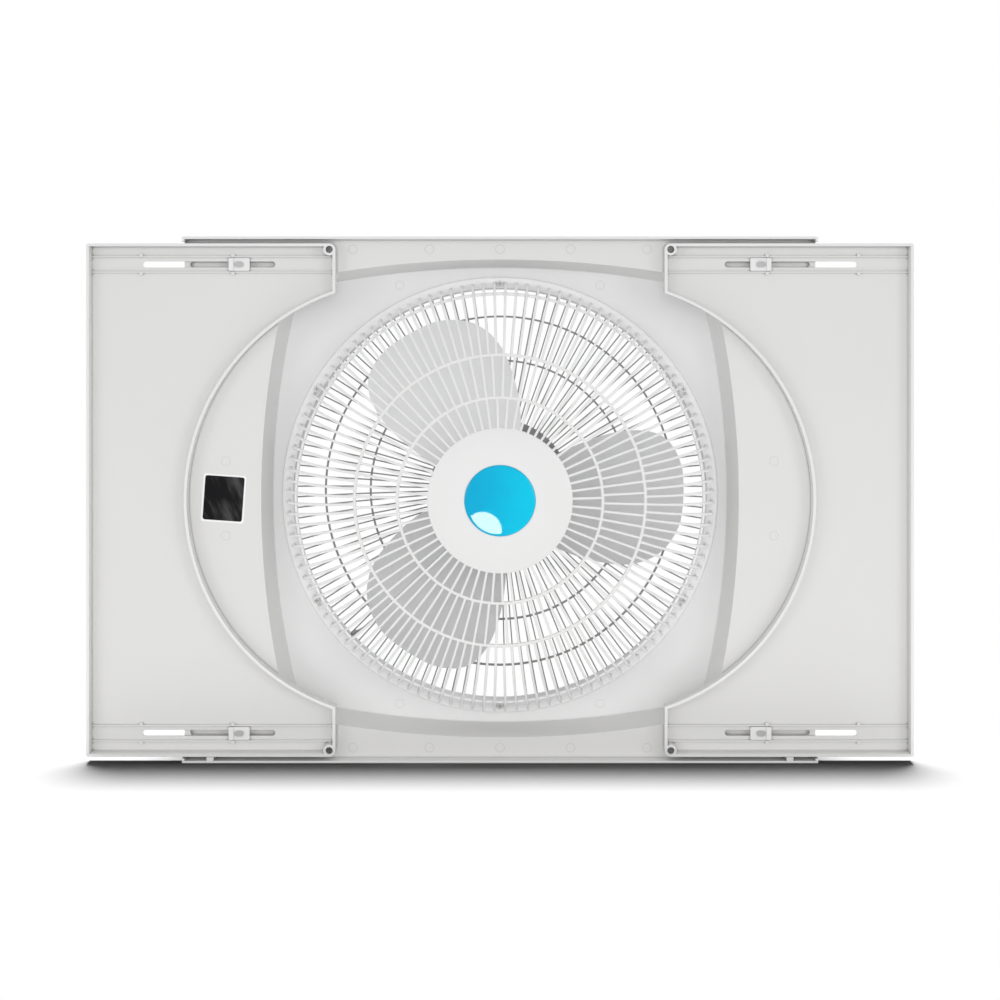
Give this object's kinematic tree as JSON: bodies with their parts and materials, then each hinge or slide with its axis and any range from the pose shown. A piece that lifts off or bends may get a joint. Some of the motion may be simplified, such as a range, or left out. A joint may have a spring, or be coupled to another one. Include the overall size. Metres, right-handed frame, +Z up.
{
  "type": "window fan",
  "caption": "Window fan in a white plastic frame with domed grilles, a paddle-bladed propeller, slide-out side panels and a rotary speed knob.",
  "frame": {"origin": "on the sill face, under the fan axis", "axes": "+X to the right seen from outdoors, +Y from outdoors into the room, +Z up"},
  "size_m": [0.826, 0.1349, 0.526],
  "materials": {
    "housing_white": "satin moulded",
    "grille_white": "satin moulded",
    "grille_grey": "satin moulded",
    "panel_white": "satin moulded",
    "clip_white": "glossy moulded",
    "badge_blue": "clear domed resin",
    "label_black": "printed film",
    "blade_grey": "satin moulded",
    "screw_steel": "zinc plated",
    "shaft_steel": "ground",
    "motor_case": "die cast",
    "lamination_iron": "stamped",
    "winding_copper": "varnished wire",
    "bearing_bronze": "sintered",
    "lead_grey": "satin sheath",
    "switch_black": "moulded",
    "dial_grey": "satin film",
    "knob_white": "satin moulded",
    "capacitor_grey": "potted case",
    "gland_rubber": "moulded",
    "gland_nylon": "moulded"
  },
  "bodies": {
    "housing": {"rear_housing": "housing_white", "front_housing": "housing_white", "housing_screws": "screw_steel", "rear_grille": "grille_white", "rear_grille_screws": "screw_steel", "front_grille": "grille_grey", "front_grille_screws": "screw_steel", "hub_badge": "badge_blue", "blank_label": "label_black", "panel_clips": "clip_white", "clip_rivets": "clip_white", "motor_rear_bell": "motor_case", "motor_front_bell": "motor_case", "motor_bolts": "screw_steel", "motor_mount_screws": "screw_steel", "stator_core": "lamination_iron", "stator_windings": "winding_copper", "rear_bearing": "bearing_bronze", "front_bearing": "bearing_bronze", "motor_lead": "lead_grey", "rotary_switch": "switch_black", "switch_nut": "shaft_steel", "dial_plate": "dial_grey", "capacitor": "capacitor_grey", "capacitor_screw": "screw_steel", "cord_gland": "gland_rubber", "gland_nut": "gland_nylon"},
    "fan": {"fan_blade": "blade_grey", "drive_pin": "shaft_steel", "blade_nut": "blade_grey", "motor_shaft": "shaft_steel", "rotor_core": "lamination_iron", "rotor_spacers": "shaft_steel"},
    "left_side": {"left_panel": "panel_white", "left_lock_screws": "screw_steel"},
    "right_side": {"right_panel": "panel_white", "right_lock_screws": "screw_steel"},
    "knob": {"speed_knob": "knob_white", "switch_shaft": "shaft_steel"}
  },
  "joints": [
    {"name": "fan_spin", "type": "hinge", "parent": "housing", "child": "fan", "pos_m": [0, 0.029, 0.263], "axis": [0, 1, 0], "continuous": true},
    {"name": "left_panel_slide", "type": "slide", "parent": "housing", "child": "left_side", "axis": [1, 0, 0], "range_m": [-0.033, 0.092]},
    {"name": "right_panel_slide", "type": "slide", "parent": "housing", "child": "right_side", "axis": [-1, 0, 0], "range_m": [-0.033, 0.092]},
    {"name": "speed_turn", "type": "hinge", "parent": "housing", "child": "knob", "pos_m": [-0.23357, 0.06, 0.04135], "axis": [0, -1, 0], "range_deg": [0, 180]}
  ]
}
